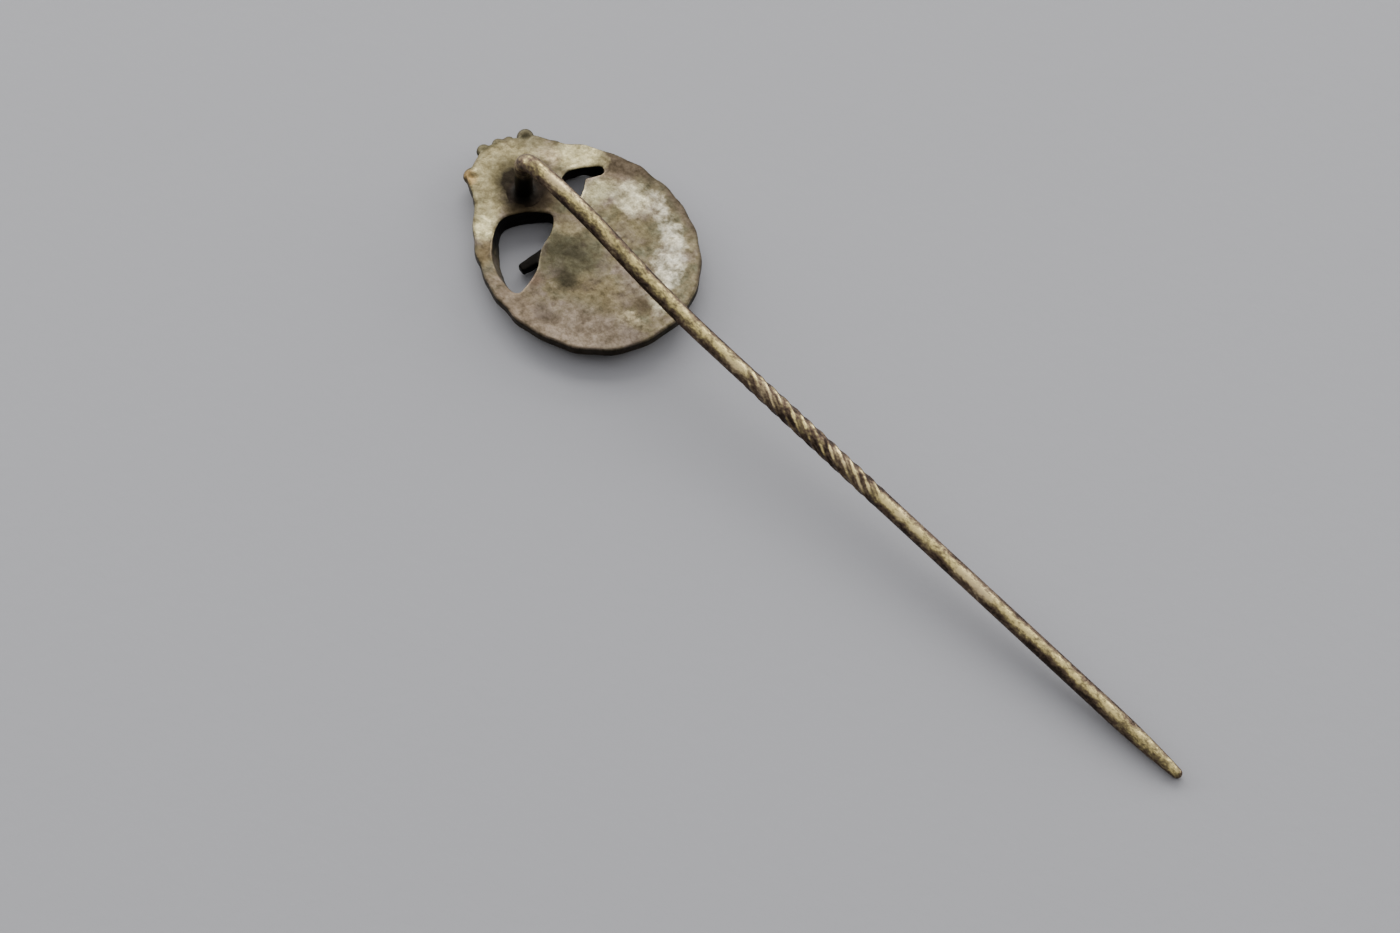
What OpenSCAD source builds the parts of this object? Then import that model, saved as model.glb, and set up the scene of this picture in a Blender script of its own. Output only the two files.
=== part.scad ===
// Stick pin: a cast oval head with two pierced windows, soldered to a long wire pin.
// It lies face down as on a table. +X runs along the wire to the point, +Z is up,
// and the back of the head faces up. The origin is under the middle of the whole pin.

/* [Head] */
// Width of the head across the pin
head_w = 13; // [11:0.5:15]
// Depth of the casting, from its front relief to the back of its rim
head_t = 1.25; // [1.15:0.05:1.5]
// Thickness of the rim's edge
rim_t = 0.58; // [0.45:0.01:0.7]
// Depth of the dish in the back
dish_d = 0.2; // [0:0.05:0.3]
// Height of the small waves along the rim
rim_wave = 0.06; // [0:0.01:0.12]
// Rise of the back towards the crest
crest_rise = 0.12; // [0:0.02:0.2]
// Diameter of the crest's largest knobs
knob_d = 1.06; // [0.8:0.02:1.2]
// Length of the tongue in the large window
tongue_l = 1.4; // [0.8:0.1:1.8]

/* [Front relief] */
// Number of leaves in the wreath
leaf_n = 24; // [16:2:32]
// Depth of the cuts between the leaves
leaf_cut = 0.2; // [0.05:0.05:0.25]
// Number of flutes round the plain centre
flute_n = 16; // [8:2:24]
// Depth of the flutes
flute_cut = 0.12; // [0:0.02:0.2]

/* [Wire] */
// Diameter of the wire
wire_d = 1.06; // [0.9:0.02:1.3]
// Radius of the elbow, to the middle of the wire
elbow_r = 1.1; // [0.9:0.1:1.4]
// Length of the first arc over the head, which leaves the elbow level
brow_l = 7; // [6:0.1:8]
// Fall of the wire where the first arc meets the second, in degrees
steep_fall = 15.5; // [14:0.1:17]
// Length of the second arc, in which the wire flattens again
sweep_l = 8; // [7:0.1:9]
// Length of the plain wire between the arcs and the ridges
plain_l = 2.6; // [2:0.1:4]
// Fall of the straight lower wire, in degrees
lower_fall = 3.7; // [3.4:0.1:4]
// Length of the plain shank below the ridges
shank_l = 17.9; // [16:0.1:20]
// Length of the tapered point
point_l = 5.4; // [4:0.1:7]
// Diameter of the blunt tip
tip_d = 0.62; // [0.3:0.02:0.7]

/* [Ridges] */
// Length of the stretch with spiral ridges
ridge_l = 11.7; // [9:0.1:14]
// Number of ridges round the wire
ridge_n = 6; // [4:1:12]
// Length along the wire of one full turn of a ridge
ridge_lead = 6.05; // [4:0.05:12]
// Height of the ridges above the wire
ridge_h = 0.03; // [0.02:0.01:0.08]
// Depth of the grooves between the ridges
groove_d = 0.06; // [0.02:0.01:0.1]

/* [Hidden] */

// Rim outline seen from the back, one row each 30 degrees from the wire's side: reach in mm
// for a head that is 13 mm wide
RIM_W = 13;
RIM_STEP = 30;
RIM = [7.92, 7.34, 6.7, 6.4, 6.62, 7.2, 7.4, 6.42, 5.98, 6.2, 6.9, 7.78];
k = head_w / RIM_W;

// Crest: where it starts and ends round the head, how softly it steps out, and its outline,
// one row each 6 degrees: reach in mm
crest_from = 144;
crest_to = 204;
crest_soft = 4;
CREST_STEP = 6;
CREST = [7.2, 7.45, 8.05, 8.22, 8.45, 8.65, 8.55, 8.25, 8, 7.1, 6.6];

// Knobs on the crest: direction in degrees, reach of the knob's middle in mm, share of knob_d
KNOBS = [[159.3, 8.28, 1], [166.5, 8.34, 0.8], [170.5, 8.54, 0.78],
         [176.8, 8.71, 0.85], [188.9, 7.95, 1]];
DIRECTION = 0;
REACH = 1;
SIZE = 2;
knob_z = 0.95;

// The thick part of the casting between the windows and the crest: where it starts and ends
// round the head, how softly, and the height of its plain front
boss_from = 135;
boss_to = 250;
boss_step = 30;
boss_z = 0.03;

// Windows, each a closed smooth curve on the back, with rows of [x, y, lean] in mm: lean is
// how far the wall steps in towards the window's middle on its way down to the front
LARGE_WINDOW = [[-2.5, 0.2, 0], [-1.8, -0.5, 0], [-1.2, -1.9, 0], [-0.4, -2.95, 0],
                [0.1, -4.3, 0.1], [0.05, -5.1, 0.4], [-1.3, -5.08, 0.65], [-2.6, -4.5, 0.6],
                [-3.5, -3.6, 0.4], [-4.2, -2.3, 0.1], [-3.8, -1.14, 0], [-3.1, -0.22, 0]];
LARGE_MIDDLE = [-2, -2.7];
SMALL_WINDOW = [[-3.1, 1.5, 0], [-3.85, 2.1, 0], [-4.15, 2.85, 0], [-3.95, 3.5, 0],
                [-3.5, 4.15, 0], [-3.05, 4.65, 0], [-2.65, 4.4, 0], [-2.95, 3.65, 0],
                [-3.05, 3.35, 0], [-2.6, 2.75, 0], [-2.35, 2, 0]];
SMALL_MIDDLE = [-3.2, 3];
LEAN = 2;
curve_steps = 4;

// Tongue: where it leaves the middle of the plate, its direction, its width at the root and at
// its end, and its place and thickness in depth
tongue_root = [-1.1, -2.1];
tongue_turn = -97;
tongue_w = 0.7;
tongue_end_w = 0.46;
tongue_z = 0.28;
tongue_t = 0.42;

// Rings of the plate from its middle to its rim, as shares of the reach
BACK_RINGS = [0.22, 0.42, 0.58, 0.7, 0.82, 0.93, 0.98, 1];
FRONT_RINGS = [0.2, 0.4, 0.54, 0.62, 0.67, 0.73, 0.79, 0.84, 0.9, 0.96, 1];
plate_sides = 120;
edge_break = 0.07;

// Front relief, as shares of the reach: the groove round the centre and the wreath's top
groove_at = 0.67;
wreath_at = 0.82;
groove_z = 0.42;
centre_z = 0.06;

// Wire stations and the leg that stands in the casting
wire_r = wire_d / 2;
tip_r = tip_d / 2;
leg_x = -4.7 * k;
foot_z = 0.75;
taper_power = 2;
ridge_points = 4;
ridge_fade = 0.1;
shank_sink = 0.35;
shank_slack = 0.006;

// The wire's runs from its foot: length, heading at the start and at the end, stations.
// Headings are in degrees above level.
LENGTH = 0;
HEAD_IN = 1;
HEAD_OUT = 2;
STATIONS = 3;
ELBOW = [elbow_r * PI / 2, 90, 0, 8];
BROW = [brow_l, 0, -steep_fall, 5];
SWEEP = [sweep_l, -steep_fall, -lower_fall, 5];
PLAIN = [plain_l, -lower_fall, -lower_fall, 1];
RIDGED = [ridge_l, -lower_fall, -lower_fall, 48];
SUNK = [shank_sink, -lower_fall, -lower_fall, 1];
upper_way = travel(ELBOW) + travel(BROW) + travel(SWEEP) + travel(PLAIN);
lower_run = ridge_l + shank_l + point_l;
lower_way = lower_run * [cos(lower_fall), -sin(lower_fall)];
tip_z = max([for (s = [0 : 0.05 : 1])
    taper_r(s) * cos(lower_fall) - (1 - s) * point_l * sin(lower_fall)]);
leg_top = tip_z - lower_way[1] - upper_way[1];
LEG = [leg_top - foot_z, 90, 90, 1];
RUNS = [LEG, ELBOW, BROW, SWEEP, PLAIN, RIDGED, SUNK];
ridged_run = 5;

// Ends of the whole pin, which set the middle of its length
tip_x = leg_x + upper_way[0] + lower_way[0];
crest_end = min([for (knob = KNOBS)
    knob[REACH] * k * cos(knob[DIRECTION]) - knob[SIZE] * knob_d / 2]);
middle_x = (crest_end + tip_x + tip_r) / 2;

// Way travelled along a run, as [x, z]
function travel(run, share = 1) =
    let (out = run[HEAD_IN] + share * (run[HEAD_OUT] - run[HEAD_IN]),
         turn = (out - run[HEAD_IN]) * PI / 180,
         way = share * run[LENGTH])
    abs(turn) < 1e-6
        ? way * [cos(out), sin(out)]
        : way / turn * [sin(out) - sin(run[HEAD_IN]), cos(run[HEAD_IN]) - cos(out)];

function mix(a, b, share) = a + (b - a) * share;
function ease(t) = let (c = min(1, max(0, t))) c * c * (3 - 2 * c);

// Radius of the point at a share of its length: it stays full at first and then runs in
function taper_r(share) = mix(wire_r, tip_r, pow(share, taper_power));

// Smooth curve from b to c, led by its neighbours a and d
function spline(a, b, c, d, t) =
    b + 0.5 * t * (c - a + t * (2 * a - 5 * b + 4 * c - d + t * (3 * (b - c) + d - a)));

function row(rows, i) = rows[(i + len(rows)) % len(rows)];
function between(rows, i, t) =
    spline(row(rows, i - 1), row(rows, i), row(rows, i + 1), row(rows, i + 2), t);
function closed_curve(rows) =
    [for (i = [0 : len(rows) - 1], s = [0 : curve_steps - 1]) between(rows, i, s / curve_steps)];

// Reach of the plate in a direction from 0 to 360 degrees
function oval(a) = k * between(RIM, floor(a / RIM_STEP), a / RIM_STEP - floor(a / RIM_STEP));
function crest_share(a) = ease((a - crest_from) / crest_soft) * ease((crest_to - a) / crest_soft);
function crest(a) =
    let (way = (a - crest_from) / CREST_STEP, i = min(max(floor(way), 0), len(CREST) - 2))
    k * between(CREST, i, way - i);
function waves(a) = rim_wave * (0.6 * sin(22 * a) + 0.4 * sin(14 * a + 50));
function reach(a) =
    crest_share(a) > 0 ? mix(oval(a) + waves(a), crest(a), crest_share(a)) : oval(a) + waves(a);

// How far a place is in the thick part by the crest, from 0 to 1
function boss_share(share, a) =
    ease((a - boss_from) / boss_step) * ease((boss_to - a) / boss_step) * ease((share - 0.2) / 0.3);

// Height of the back surface
function back_z(share, a) =
    let (boss = boss_share(share, a))
    head_t - dish_d * (1 - share * share) * (1 - boss) + crest_rise * boss
    - (share == 1 ? edge_break : 0);

// Height of the front surface: a plain fluted centre, a groove and a leaf wreath
function leaf(share, a) =
    0.5 + 0.5 * cos(leaf_n * a - sign(180 - a) * 420 * (share - wreath_at));
function flute(share, a) = ease(share / 0.3) * flute_cut * (0.5 + 0.5 * cos(flute_n * a));
function centre_front(share, a) = mix(centre_z, groove_z, pow(share / groove_at, 3)) + flute(share, a);
function wreath_inner(share) = mix(groove_z, 0, ease((share - groove_at) / (wreath_at - groove_at)));
function wreath_outer(share) = (head_t - rim_t) * pow((share - wreath_at) / (1 - wreath_at), 2);
function wreath_front(share, a) =
    share < wreath_at
        ? wreath_inner(share) + leaf_cut * leaf(share, a) * ease((share - groove_at) / 0.08)
        : wreath_outer(share) + leaf_cut * leaf(share, a) * ease((1 - share) / 0.08);
function relief(share, a) = share <= groove_at ? centre_front(share, a) : wreath_front(share, a);
function plain_front(share) = share < wreath_at ? boss_z : max(boss_z, wreath_outer(share));
function front_z(share, a) = mix(relief(share, a), plain_front(share), boss_share(share, a));

function plate_point(share, a, z) = [share * reach(a) * cos(a), share * reach(a) * sin(a), z];
function plate_angle(i) = 360 * i / plate_sides;

// The cast plate: back rings, front rings and a middle point on each face
module head_plate() {
    n = plate_sides;
    backs = len(BACK_RINGS);
    fronts = len(FRONT_RINGS);
    back = [for (share = BACK_RINGS, i = [0 : n - 1])
        plate_point(share, plate_angle(i), back_z(share, plate_angle(i)))];
    front = [for (j = [fronts - 1 : -1 : 0], i = [0 : n - 1])
        plate_point(FRONT_RINGS[j], plate_angle(i), front_z(FRONT_RINGS[j], plate_angle(i)))];
    rings = backs + fronts;
    back_middle = rings * n;
    front_middle = back_middle + 1;
    points = concat(back, front, [[0, 0, head_t - dish_d], [0, 0, centre_z]]);
    faces = concat(
        [for (i = [0 : n - 1]) [back_middle, (i + 1) % n, i]],
        [for (j = [0 : rings - 2], i = [0 : n - 1])
            [j * n + i, j * n + (i + 1) % n, (j + 1) * n + i]],
        [for (j = [0 : rings - 2], i = [0 : n - 1])
            [j * n + (i + 1) % n, (j + 1) * n + (i + 1) % n, (j + 1) * n + i]],
        [for (i = [0 : n - 1]) [front_middle, (rings - 1) * n + i, (rings - 1) * n + (i + 1) % n]]);
    polyhedron(points, faces, convexity = 4);
}

// A window's cutter: straight flanks from the curve on the back to the leaning curve below it
module window(rows, middle) {
    curve = closed_curve(rows);
    n = len(curve);
    top = head_t + 0.4;
    bottom = -0.2;
    level = function(z) [for (p = curve)
        let (flat = [p[0], p[1]],
             inward = (middle - flat) / norm(middle - flat),
             place = k * (flat + inward * p[LEAN] * (head_t - z) / head_t))
        [place[0], place[1], z]];
    faces = concat(
        [[for (i = [0 : n - 1]) i]],
        [for (i = [0 : n - 1]) [i, n + i, (i + 1) % n]],
        [for (i = [0 : n - 1]) [n + i, n + (i + 1) % n, (i + 1) % n]],
        [[for (i = [n - 1 : -1 : 0]) n + i]]);
    polyhedron(concat(level(top), level(bottom)), faces, convexity = 4);
}

module windows() {
    window(LARGE_WINDOW, LARGE_MIDDLE);
    window(SMALL_WINDOW, SMALL_MIDDLE);
}

// The dark bar that reaches into the large window, tapered to a rounded end
module tongue() {
    sunk = 0.5;
    end_r = tongue_end_w / 2;
    outline = concat(
        [[-sunk, -tongue_w / 2]],
        [for (a = [-90 : 22.5 : 90]) [tongue_l - end_r + end_r * cos(a), end_r * sin(a)]],
        [[-sunk, tongue_w / 2]]);
    color("#2b2620")
        translate([tongue_root[0] * k, tongue_root[1] * k, tongue_z])
            rotate(tongue_turn)
                linear_extrude(tongue_t)
                    polygon(outline);
}

module crest_knobs() {
    color("#b7a984")
        for (knob = KNOBS)
            rotate(knob[DIRECTION])
                translate([knob[REACH] * k, 0, knob_z])
                    sphere(d = knob[SIZE] * knob_d, $fn = 24);
}

module head() {
    color("#9b907b")
        difference() {
            head_plate();
            windows();
        }
    tongue();
    crest_knobs();
}

// Fillet of solder at the foot of the wire
module solder_seat() {
    fillet_r = 0.5;
    sunk = 0.3;
    steps = 6;
    inner_r = wire_r - 0.04;
    flank = [for (s = [0 : steps])
        let (a = 90 * s / steps) [inner_r + fillet_r * (1 - sin(a)), fillet_r * (1 - cos(a))]];
    color("#8d826d")
        translate([leg_x, 0, back_z(0.6, 180)])
            rotate_extrude($fn = 32)
                polygon(concat([[0, -sunk], [inner_r + fillet_r, -sunk]], flank, [[0, fillet_r]]));
}

// Place of a station on the wire: the way along the runs before it and along its own run
function run_start(i) = i == 0 ? [leg_x, foot_z] : run_start(i - 1) + travel(RUNS[i - 1]);
function heading(run, share) = mix(run[HEAD_IN], run[HEAD_OUT], share);

// How high the ridges stand at a share of their run: they fade in and out
function ridge_share(share) = ease(share / ridge_fade) * ease((1 - share) / ridge_fade);

// One ring of the wire: points that turn with the ridges, right-handed towards the point
function wire_ring(i, share) =
    let (run = RUNS[i],
         place = run_start(i) + travel(run, share),
         h = heading(run, share),
         ridged = i == ridged_run ? ridge_share(share) : 0,
         turned = i < ridged_run ? 0 : (i == ridged_run ? share : 1) * 360 * ridge_l / ridge_lead,
         count = ridge_n * ridge_points)
    [for (j = [0 : count - 1])
        let (a = 360 * j / count + turned,
             lift = mix(-groove_d, ridge_h, (1 + cos(360 * j / ridge_points)) / 2),
             r = wire_r + ridged * lift)
        [place[0] - r * cos(a) * sin(h), -r * sin(a), place[1] + r * cos(a) * cos(h)]];

// Leg, elbow, bowed upper wire and ridged stretch, swept as one closed skin
module upper_wire() {
    count = ridge_n * ridge_points;
    rings = concat(
        [for (i = [0 : len(RUNS) - 1], s = [0 : RUNS[i][STATIONS] - 1])
            wire_ring(i, s / RUNS[i][STATIONS])],
        [wire_ring(len(RUNS) - 1, 1)]);
    last = len(rings) - 1;
    points = [for (ring = rings, p = ring) p];
    faces = concat(
        [[for (j = [0 : count - 1]) j]],
        [for (s = [0 : last - 1], j = [0 : count - 1])
            [s * count + j, (s + 1) * count + j, s * count + (j + 1) % count]],
        [for (s = [0 : last - 1], j = [0 : count - 1])
            [(s + 1) * count + j, (s + 1) * count + (j + 1) % count, s * count + (j + 1) % count]],
        [[for (j = [count - 1 : -1 : 0]) last * count + j]]);
    color("#a5946b")
        polyhedron(points, faces, convexity = 4);
}

// Plain shank and ground point, turned as one profile about the wire's axis
module lower_pin() {
    start = run_start(len(RUNS) - 1);
    tip_steps = 4;
    taper_steps = 7;
    body_l = shank_l + point_l;
    taper = [for (s = [1 : taper_steps])
        [taper_r(s / taper_steps), shank_l + point_l * s / taper_steps]];
    round_end = [for (s = [1 : tip_steps])
        let (a = 90 * s / tip_steps) [tip_r * cos(a), body_l + tip_r * sin(a)]];
    profile = concat(
        [[0, 0], [wire_r + shank_slack, 0], [wire_r + shank_slack, shank_l]], taper, round_end);
    color("#a5946b")
        translate([start[0], 0, start[1]])
            rotate([0, 90 + lower_fall, 0])
                rotate_extrude($fn = 48)
                    polygon(profile);
}

module stick_pin() {
    translate([-middle_x, 0, 0]) {
        head();
        solder_seat();
        upper_wire();
        lower_pin();
    }
}

stick_pin();
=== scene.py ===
"""Looks of an old stick pin: a cast oval head with two pierced windows on a long ridged wire.

The pin lies face down on a pale table, so the back of its head faces up. Shapes are modelled
in millimetres about the middle of the head and are then put in their place in the frame, in
metres. +X runs along the wire to the point, and +Z is up.
"""

import logging
import math
from dataclasses import dataclass, field
from enum import Enum
from typing import Callable, Sequence

import bmesh
import bpy
from mathutils import Matrix, Vector, noise


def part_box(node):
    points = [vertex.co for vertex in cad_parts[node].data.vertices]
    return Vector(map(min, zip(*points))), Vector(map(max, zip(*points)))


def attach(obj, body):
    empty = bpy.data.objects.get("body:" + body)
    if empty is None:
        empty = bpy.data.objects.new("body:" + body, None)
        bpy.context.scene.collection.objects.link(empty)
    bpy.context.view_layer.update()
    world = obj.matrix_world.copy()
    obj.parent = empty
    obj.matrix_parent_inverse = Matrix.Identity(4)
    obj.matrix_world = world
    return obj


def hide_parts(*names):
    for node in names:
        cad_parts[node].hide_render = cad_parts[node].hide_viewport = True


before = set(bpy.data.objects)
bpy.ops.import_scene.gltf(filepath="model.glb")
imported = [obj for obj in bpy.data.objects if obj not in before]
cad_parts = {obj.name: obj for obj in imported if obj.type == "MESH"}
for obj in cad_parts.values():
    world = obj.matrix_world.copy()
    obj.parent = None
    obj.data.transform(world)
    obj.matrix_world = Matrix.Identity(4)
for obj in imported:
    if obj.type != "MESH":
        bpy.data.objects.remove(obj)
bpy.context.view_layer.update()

Piece = bpy.types.Object
Tree = bpy.types.NodeTree
Socket = bpy.types.NodeSocket

LOG = logging.getLogger("stick_pin")
BODY = "root"
NODE = "stick_pin"
MM = 0.001
PART_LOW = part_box(NODE)[0] / MM

UP = Vector((0.0, 0.0, 1.0))

# How far the crest's outermost knob lies from the middle of the head, in millimetres
CREST_REACH = 9.147
HEAD_X = PART_LOW.x + CREST_REACH


class Face(Enum):
    """The two broad faces of the head."""

    BACK = "back"
    FRONT = "front"


class Layer(Enum):
    """Attributes that carry the wear, dirt, painted shade and painted sheen of a surface from its shape to
    its finish.
    """

    GRIME = "grime"
    WORN = "worn"
    BACK = "back"


def ease(t: float) -> float:
    """Return a smooth step from 0 to 1 as t goes from 0 to 1."""
    t = min(1.0, max(0.0, t))
    return t * t * (3.0 - 2.0 * t)


def fade(value: float, start: float, end: float) -> float:
    """Return a smooth step of a value, from 0 at the start to 1 at the end."""
    return ease((value - start) / (end - start))


def between(value: float, start: float, end: float, soft: float) -> float:
    """Return 1 between two limits, with a smooth step down to 0 at each."""
    return ease((value - start) / soft) * ease((end - value) / soft)


def mix(a: float, b: float, share: float) -> float:
    """Return the value a share of the way from a to b."""
    return a + (b - a) * share


def spline(rows: Sequence, index: int, t: float) -> Vector:
    """Return a point of the smooth closed curve through the rows.

    Args:
        rows: Points of the curve, each of the same length.
        index: The row that the stretch starts at.
        t: How far along the stretch, from 0 to 1.

    Returns:
        The point.
    """
    a, b, c, d = (Vector(rows[(index + i) % len(rows)]) for i in (-1, 0, 1, 2))
    return b + 0.5 * t * (c - a + t * (2 * a - 5 * b + 4 * c - d + t * (3 * (b - c) + d - a)))


def linear(hex_code: str) -> tuple[float, float, float, float]:
    """Return an sRGB hex colour as linear red, green, blue and full alpha.

    Args:
        hex_code: Six hex digits, with or without a leading hash.

    Returns:
        The colour as Blender's sockets take it.
    """
    digits = hex_code.lstrip("#")
    values = (int(digits[i:i + 2], 16) / 255 for i in (0, 2, 4))
    r, g, b = (v / 12.92 if v <= 0.04045 else ((v + 0.055) / 1.055) ** 2.4 for v in values)
    return r, g, b, 1.0


def set_up(tree: Tree, node: bpy.types.Node, settings: dict, links: dict) -> None:
    """Give a node its settings and links.

    Args:
        tree: The node tree.
        node: The node.
        settings: Values by attribute name, input name or input number. A ramp's stops are
            pairs of position and hex colour.
        links: Output sockets by the input name or number that they feed.
    """
    for name, value in settings.items():
        if name == "stops":
            while len(node.color_ramp.elements) < len(value):
                node.color_ramp.elements.new(1.0)
            for element, (position, hex_code) in zip(node.color_ramp.elements, value):
                element.position = position
                element.color = linear(hex_code)
        elif isinstance(name, str) and hasattr(node, name):
            setattr(node, name, value)
        else:
            node.inputs[name].default_value = value
    for name, socket in links.items():
        tree.links.new(socket, node.inputs[name])


def add_node(tree: Tree, kind: str, settings: dict | None = None, links: dict | None = None,
             out: str | int = 0) -> Socket:
    """Add a shader node with its settings and links.

    Args:
        tree: The node tree that takes the node.
        kind: Blender's name of the node type, less ShaderNode.
        settings: Values as set_up takes them.
        links: Sockets as set_up takes them.
        out: Name or number of the output that is wanted.

    Returns:
        The socket of that output.
    """
    node = tree.nodes.new("ShaderNode" + kind)
    set_up(tree, node, settings or {}, links or {})
    return node.outputs[out]


def deselect_all() -> None:
    """Leave edit mode and deselect every object."""
    if bpy.context.object and bpy.context.object.mode != "OBJECT":
        bpy.ops.object.mode_set(mode="OBJECT")
    bpy.ops.object.select_all(action="DESELECT")


def activate(piece: Piece) -> None:
    """Make a piece the only selected and active object.

    Args:
        piece: The piece.
    """
    deselect_all()
    piece.select_set(True)
    bpy.context.view_layer.objects.active = piece


def add_ring(sides: int, radius: float, place: Sequence[float], name: str) -> Piece:
    """Add a bare circle of edges and open it in edit mode with all of it selected.

    Args:
        sides: Number of its vertices.
        radius: Its radius.
        place: Its middle.
        name: The object's name.

    Returns:
        The new object, whose origin stays at the middle of the head.
    """
    deselect_all()
    bpy.ops.mesh.primitive_circle_add(vertices=sides, radius=radius, location=place)
    ring = bpy.context.object
    ring.name = ring.data.name = name
    bpy.ops.object.transform_apply()
    bpy.ops.object.mode_set(mode="EDIT")
    bpy.ops.mesh.select_all(action="SELECT")
    return ring


def even(length: float, steps: int, radius: float) -> list[tuple[float, float]]:
    """Return rows for extrude_rings that keep one radius over a length."""
    return [(length * i / steps, radius) for i in range(steps + 1)]


def extrude_rings(middle: Vector, way: Vector, rows: Sequence[tuple[float, float]]) -> Vector:
    """Extrude the selected ring along an axis through rings of other sizes.

    Args:
        middle: The selected ring's middle.
        way: The axis's direction.
        rows: Distance from that middle and radius of each ring, the selected one first.

    Returns:
        The middle of the last ring.
    """
    for (last, before), (along, radius) in zip(rows, rows[1:]):
        bpy.ops.mesh.extrude_region_move(TRANSFORM_OT_translate={"value": way * (along - last)})
        if radius != before:
            size = (radius / before,) * 3
            bpy.ops.transform.resize(value=size, center_override=middle + way * along)
    return middle + way * rows[-1][0]


def close_mesh() -> None:
    """Merge doubles, turn all faces outwards and leave edit mode."""
    bpy.ops.mesh.select_all(action="SELECT")
    bpy.ops.mesh.remove_doubles(threshold=1e-4)
    bpy.ops.mesh.normals_make_consistent(inside=False)
    bpy.ops.object.mode_set(mode="OBJECT")


def select_where(piece: Piece, test: Callable[[Vector], bool]) -> None:
    """Select the vertices whose place passes a test, and what lies between them.

    Args:
        piece: The piece, open in edit mode.
        test: Says of a vertex's place whether it is selected.
    """
    bpy.ops.mesh.select_all(action="DESELECT")
    mesh = bmesh.from_edit_mesh(piece.data)
    for vertex in mesh.verts:
        vertex.select_set(test(vertex.co))
    mesh.select_flush(True)
    bmesh.update_edit_mesh(piece.data)


def apply_modifier(piece: Piece, kind: str, settings: dict) -> None:
    """Add a modifier to a piece and apply it.

    Args:
        piece: The piece that it changes.
        kind: Blender's name of the modifier type.
        settings: Values by attribute name.
    """
    activate(piece)
    modifier = piece.modifiers.new(kind.title(), kind)
    for name, value in settings.items():
        setattr(modifier, name, value)
    bpy.ops.object.modifier_apply(modifier=modifier.name)


def roughen(piece: Piece, grain: float, height: float) -> None:
    """Push a surface in and out by cloudy noise, as sand moulds and wear leave it.

    Args:
        piece: The piece, in millimetres.
        grain: Size of the lumps, in millimetres.
        height: Full height of the lumps, in millimetres.
    """
    clouds = bpy.data.textures.new(f"lumps_{grain}", "CLOUDS")
    clouds.noise_scale = grain
    clouds.noise_depth = 2
    settings = {"texture": clouds, "strength": height, "mid_level": 0.5, "texture_coords": "LOCAL"}
    apply_modifier(piece, "DISPLACE", settings)


def join(pieces: Sequence[Piece]) -> Piece:
    """Join pieces into one.

    Args:
        pieces: The pieces.

    Returns:
        The first piece, which the others are now part of.
    """
    activate(pieces[0])
    for piece in pieces:
        piece.select_set(True)
    bpy.ops.object.join()
    return pieces[0]


def write_layer(piece: Piece, layer: Layer, values: Sequence[float]) -> None:
    """Store one value for each vertex as an attribute that the finish reads.

    Args:
        piece: The piece.
        layer: Which attribute.
        values: The values in the order of the vertices.
    """
    attribute = piece.data.attributes.new(layer.value, "FLOAT", "POINT")
    attribute.data.foreach_set("value", list(values))


def settle(piece: Piece, material: bpy.types.Material, smooth_angle: float) -> None:
    """Put a finished piece in its place in the frame, dress it and let it ride.

    Args:
        piece: The piece, in millimetres about the middle of the head.
        material: Its finish.
        smooth_angle: Edges sharper than this, in degrees, stay sharp.
    """
    activate(piece)
    piece.location = (HEAD_X * MM, 0.0, 0.0)
    piece.scale = (MM, MM, MM)
    bpy.ops.object.transform_apply()
    bpy.ops.object.shade_smooth_by_angle(angle=math.radians(smooth_angle))
    piece.data.materials.clear()
    piece.data.materials.append(material)
    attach(piece, BODY)
    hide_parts(NODE)
    LOG.info("%s: %d faces", piece.name, len(piece.data.polygons))


def per_mm(size_mm: float) -> float:
    """Return the texture scale that gives lumps of a size in millimetres."""
    return 1 / (size_mm * MM)


def new_material(name: str) -> tuple[bpy.types.Material, Tree, bpy.types.Node]:
    """Add a material.

    Args:
        name: Its name, which says what the real surface is.

    Returns:
        The material, its node tree and its shader.
    """
    material = bpy.data.materials.new(name)
    material.use_nodes = True
    tree = material.node_tree
    return material, tree, tree.nodes["Principled BSDF"]


@dataclass(frozen=True)
class ColourPatch:
    """A ragged patch of another colour on the back of the head, placed in millimetres.

    Some are tarnish and wear, and some are painted highlights and shadows.
    """

    place: tuple[float, float]
    size: tuple[float, float]
    turn: float
    colour: str
    strength: float
    broken: float = 0.6


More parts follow.
